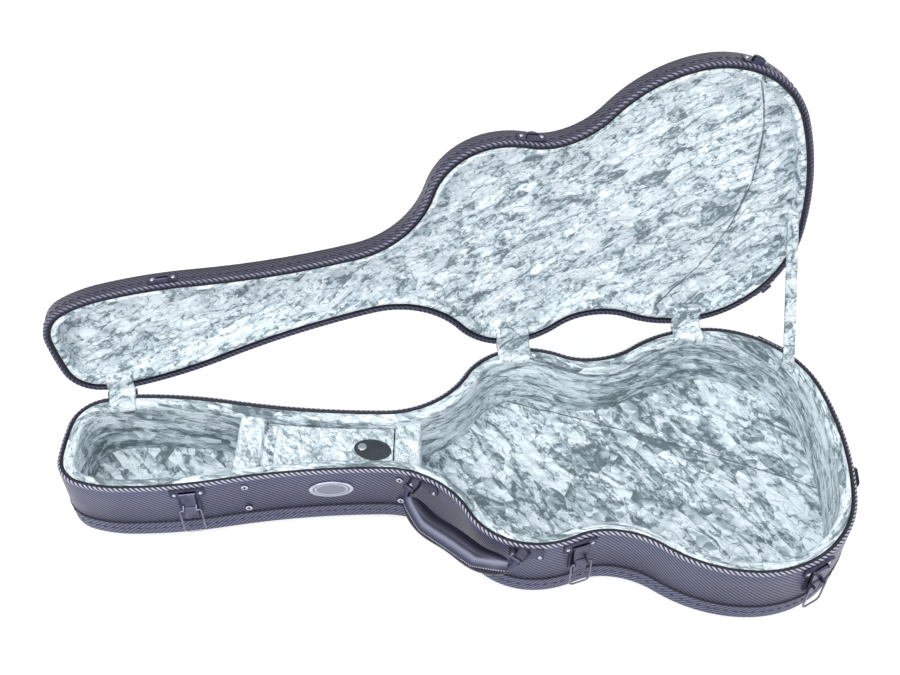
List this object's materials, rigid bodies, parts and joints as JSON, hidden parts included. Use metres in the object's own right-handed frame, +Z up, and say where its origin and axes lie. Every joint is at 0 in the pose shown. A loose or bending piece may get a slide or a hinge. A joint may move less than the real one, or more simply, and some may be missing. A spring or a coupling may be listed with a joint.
{
  "type": "acoustic guitar hard case",
  "caption": "Open hard case for an acoustic guitar, with hinged lid, draw latches, swinging handle, velvet lining and a lidded pocket.",
  "frame": {"origin": "middle of the flat bottom face, on the surface that the case stands on", "axes": "+X along the case towards the tail (the lower bout), -Y towards the front with the handle and the latches, +Z up"},
  "size_m": [1.1253, 0.5273, 0.5589],
  "materials": {
    "vinyl": "woven-look vinyl, satin",
    "velvet": "crushed velvet",
    "black_trim": "matt",
    "steel": "bright nickel plate",
    "pin_steel": "drawn",
    "handle_plastic": "soft gloss",
    "tab_leather": "smooth",
    "badge_metal": "satin"
  },
  "bodies": {
    "base": {"badge": "badge_metal", "badge_pins": "steel", "base_bottom": "vinyl", "base_bottom_band": "vinyl", "base_edge_trim": "black_trim", "base_lining_floor": "velvet", "base_lining_wall": "velvet", "base_piping": "black_trim", "base_wall": "vinyl", "handle_bracket_left": "steel", "handle_bracket_right": "steel", "handle_bracket_rivets": "steel", "hinge_base_leaf_head": "steel", "hinge_base_leaf_lower": "steel", "hinge_base_leaf_upper": "steel", "hinge_covers": "velvet", "hinge_pins": "pin_steel", "hinge_rivets_base": "steel", "latch_pins": "pin_steel", "latch_plate_head": "steel", "latch_plate_tail_front": "steel", "latch_plate_tail_rear": "steel", "latch_plate_waist": "steel", "latch_rivets": "steel", "neck_block": "velvet", "neck_rest_partition": "velvet", "partition_screws": "steel", "pocket_hinge_tape": "velvet", "stay_strap": "velvet", "strap_anchor_base": "velvet", "tail_bumper": "black_trim"},
    "lid": {"lid_wall": "vinyl", "lid_top": "vinyl", "lid_edge_trim": "black_trim", "lid_lining_wall": "velvet", "lid_lining_panel": "velvet", "keeper_rivets": "steel", "hinge_rivets_lid": "steel", "strap_anchor_lid": "velvet", "keeper_head": "steel", "keeper_waist": "steel", "keeper_tail_front": "steel", "keeper_tail_rear": "steel", "hinge_lid_leaf_head": "steel", "hinge_lid_leaf_upper": "steel", "hinge_lid_leaf_lower": "steel"},
    "lever_head": {"latch_lever_head": "steel"},
    "bail_head": {"latch_bail_head": "steel"},
    "lever_waist": {"latch_lever_waist": "steel"},
    "bail_waist": {"latch_bail_waist": "steel"},
    "lever_tail_front": {"latch_lever_tail_front": "steel"},
    "bail_tail_front": {"latch_bail_tail_front": "steel"},
    "lever_tail_rear": {"latch_lever_tail_rear": "steel"},
    "bail_tail_rear": {"latch_bail_tail_rear": "steel"},
    "handle": {"handle_core": "pin_steel", "handle_grip": "handle_plastic"},
    "pocket_lid": {"pocket_lid": "velvet", "pull_tab": "tab_leather", "pull_tab_snap": "steel"}
  },
  "joints": [
    {"name": "lid_hinge", "type": "hinge", "parent": "base", "child": "lid", "pos_m": [-0.02594, 0.16255, 0.1142], "axis": [-0.9875, -0.1576, 0], "range_deg": [-94, 0], "deforming": ["stay_strap", "hinge_covers"]},
    {"name": "lever_head", "type": "hinge", "parent": "base", "child": "lever_head", "pos_m": [-0.36231, -0.08695, 0.103], "axis": [0.9922, 0.1244, 0], "range_deg": [-110, 0]},
    {"name": "lever_waist", "type": "hinge", "parent": "base", "child": "lever_waist", "pos_m": [0.16518, -0.17164, 0.103], "axis": [0.9426, 0.334, 0], "range_deg": [-110, 0]},
    {"name": "lever_tail_front", "type": "hinge", "parent": "base", "child": "lever_tail_front", "pos_m": [0.46779, -0.20532, 0.103], "axis": [0.8645, 0.5026, 0], "range_deg": [-110, 0]},
    {"name": "lever_tail_rear", "type": "hinge", "parent": "base", "child": "lever_tail_rear", "pos_m": [0.48748, 0.19202, 0.103], "axis": [-0.7793, 0.6267, 0], "range_deg": [-110, 0]},
    {"name": "bail_head", "type": "hinge", "parent": "lever_head", "child": "bail_head", "pos_m": [-0.36174, -0.09152, 0.074], "axis": [-0.9922, -0.1244, 0], "range_deg": [0, 186]},
    {"name": "bail_waist", "type": "hinge", "parent": "lever_waist", "child": "bail_waist", "pos_m": [0.16671, -0.17598, 0.074], "axis": [-0.9426, -0.334, 0], "range_deg": [0, 186]},
    {"name": "bail_tail_front", "type": "hinge", "parent": "lever_tail_front", "child": "bail_tail_front", "pos_m": [0.4701, -0.2093, 0.074], "axis": [-0.8645, -0.5026, 0], "range_deg": [0, 186]},
    {"name": "bail_tail_rear", "type": "hinge", "parent": "lever_tail_rear", "child": "bail_tail_rear", "pos_m": [0.49036, 0.19561, 0.074], "axis": [0.7793, -0.6267, 0], "range_deg": [0, 186]},
    {"name": "handle_swing", "type": "hinge", "parent": "base", "child": "handle", "pos_m": [-0.062, -0.07652, 0.102], "axis": [-0.7777, 0.6287, 0], "range_deg": [-4, 65]},
    {"name": "pocket_lid_hinge", "type": "hinge", "parent": "base", "child": "pocket_lid", "pos_m": [-0.2638, 0, 0.095], "axis": [0, -1, 0], "range_deg": [0, 90], "deforming": ["pocket_hinge_tape"]}
  ]
}
